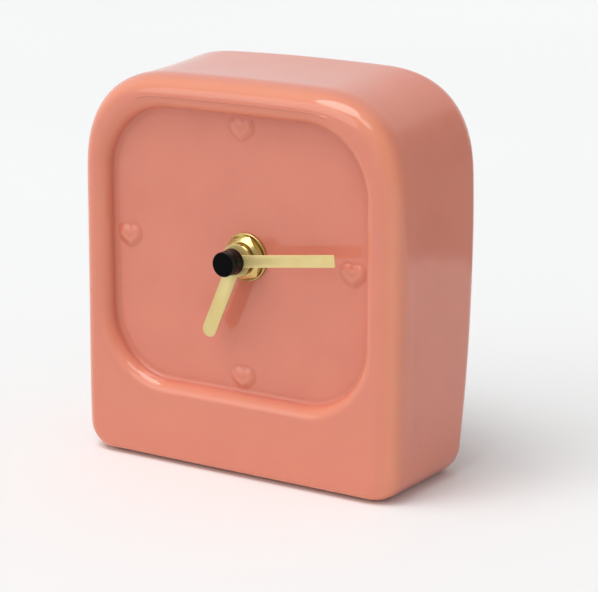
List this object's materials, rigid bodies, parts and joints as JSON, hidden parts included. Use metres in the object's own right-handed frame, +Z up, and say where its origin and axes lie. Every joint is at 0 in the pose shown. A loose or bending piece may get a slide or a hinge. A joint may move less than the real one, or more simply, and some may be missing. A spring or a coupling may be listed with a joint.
{
  "type": "table clock",
  "caption": "Small table clock: rounded porcelain case with a sunk dial and raised hearts, two brass hands, and a battery quartz movement in its open back.",
  "frame": {"origin": "middle of the flat underside, below the middle of the case's depth", "axes": "+X to the reader's right, -Y out of the dial, +Z up"},
  "size_m": [0.1118, 0.0567, 0.1194],
  "materials": {
    "porcelain": "glossy salmon-pink glaze",
    "hand_brass": "pale brushed brass",
    "gilt_metal": "gilt, polished",
    "black_cap": "glossy black",
    "black_plastic": "fine spark texture",
    "white_plastic": "smooth moulded",
    "rubber": "matt",
    "steel": "bright",
    "magnet": "dull sintered",
    "copper_wire": "enamelled copper wire",
    "board": "green solder mask",
    "battery": "printed sleeve"
  },
  "bodies": {
    "case": {"case_shell": "porcelain", "movement_housing": "black_plastic", "movement_cover": "black_plastic", "threaded_bush": "gilt_metal", "rubber_gasket": "rubber", "dial_washer": "gilt_metal", "bush_nut": "gilt_metal", "train_bridge": "black_plastic", "motor_stator": "steel", "coil_core": "steel", "coil_bobbin": "white_plastic", "coil_winding": "copper_wire", "circuit_board": "board", "quartz_crystal": "steel", "chip_blob": "black_cap", "positive_contact": "steel", "negative_contact": "steel"},
    "minute_set": {"minute_cannon": "gilt_metal", "minute_hand": "hand_brass", "hand_cap": "black_cap"},
    "hour_set": {"hour_wheel": "white_plastic", "hour_hand": "hand_brass"},
    "motion_wheel": {"motion_wheel": "white_plastic"},
    "setting_knob": {"setting_knob": "white_plastic"},
    "seconds_wheel": {"seconds_wheel": "white_plastic"},
    "third_wheel": {"third_wheel": "white_plastic"},
    "centre_wheel": {"centre_wheel": "white_plastic"},
    "fifth_wheel": {"fifth_wheel": "white_plastic"},
    "rotor": {"rotor_pinion": "white_plastic", "rotor_magnet": "magnet"},
    "battery": {"battery_can": "battery", "battery_button": "steel"}
  },
  "joints": [
    {"name": "minute_turn", "type": "hinge", "parent": "case", "child": "minute_set", "pos_m": [0.003, 0, 0.0659], "axis": [0, 1, 0], "continuous": true},
    {"name": "hour_turn", "type": "hinge", "parent": "case", "child": "hour_set", "pos_m": [0.003, 0, 0.0659], "axis": [0, 1, 0], "continuous": true},
    {"name": "motion_turn", "type": "hinge", "parent": "case", "child": "motion_wheel", "pos_m": [-0.00645, 0, 0.06757], "axis": [0, 1, 0], "continuous": true},
    {"name": "setting_turn", "type": "hinge", "parent": "case", "child": "setting_knob", "pos_m": [-0.01477, 0, 0.07237], "axis": [0, 1, 0], "continuous": true},
    {"name": "seconds_turn", "type": "hinge", "parent": "case", "child": "seconds_wheel", "pos_m": [0.003, 0, 0.0659], "axis": [0, 1, 0], "continuous": true},
    {"name": "third_turn", "type": "hinge", "parent": "case", "child": "third_wheel", "pos_m": [-0.00156, 0, 0.07569], "axis": [0, 1, 0], "continuous": true},
    {"name": "centre_turn", "type": "hinge", "parent": "case", "child": "centre_wheel", "pos_m": [0.003, 0, 0.0659], "axis": [0, 1, 0], "continuous": true},
    {"name": "fifth_turn", "type": "hinge", "parent": "case", "child": "fifth_wheel", "pos_m": [0.01095, 0, 0.06879], "axis": [0, 1, 0], "continuous": true},
    {"name": "rotor_turn", "type": "hinge", "parent": "case", "child": "rotor", "pos_m": [0.01515, 0, 0.07607], "axis": [0, 1, 0], "continuous": true},
    {"name": "battery_slide", "type": "slide", "parent": "case", "child": "battery", "axis": [0, 1, 0], "range_m": [0, 0.045]}
  ],
  "couplings": [
    {"joint": "hour_turn", "follows": "minute_turn", "ratio": 0.083333},
    {"joint": "motion_turn", "follows": "minute_turn", "ratio": -0.33333},
    {"joint": "setting_turn", "follows": "minute_turn", "ratio": 1},
    {"joint": "third_turn", "follows": "seconds_turn", "ratio": -0.13333},
    {"joint": "centre_turn", "follows": "seconds_turn", "ratio": 0.016667},
    {"joint": "fifth_turn", "follows": "seconds_turn", "ratio": -5},
    {"joint": "rotor_turn", "follows": "seconds_turn", "ratio": 30}
  ]
}
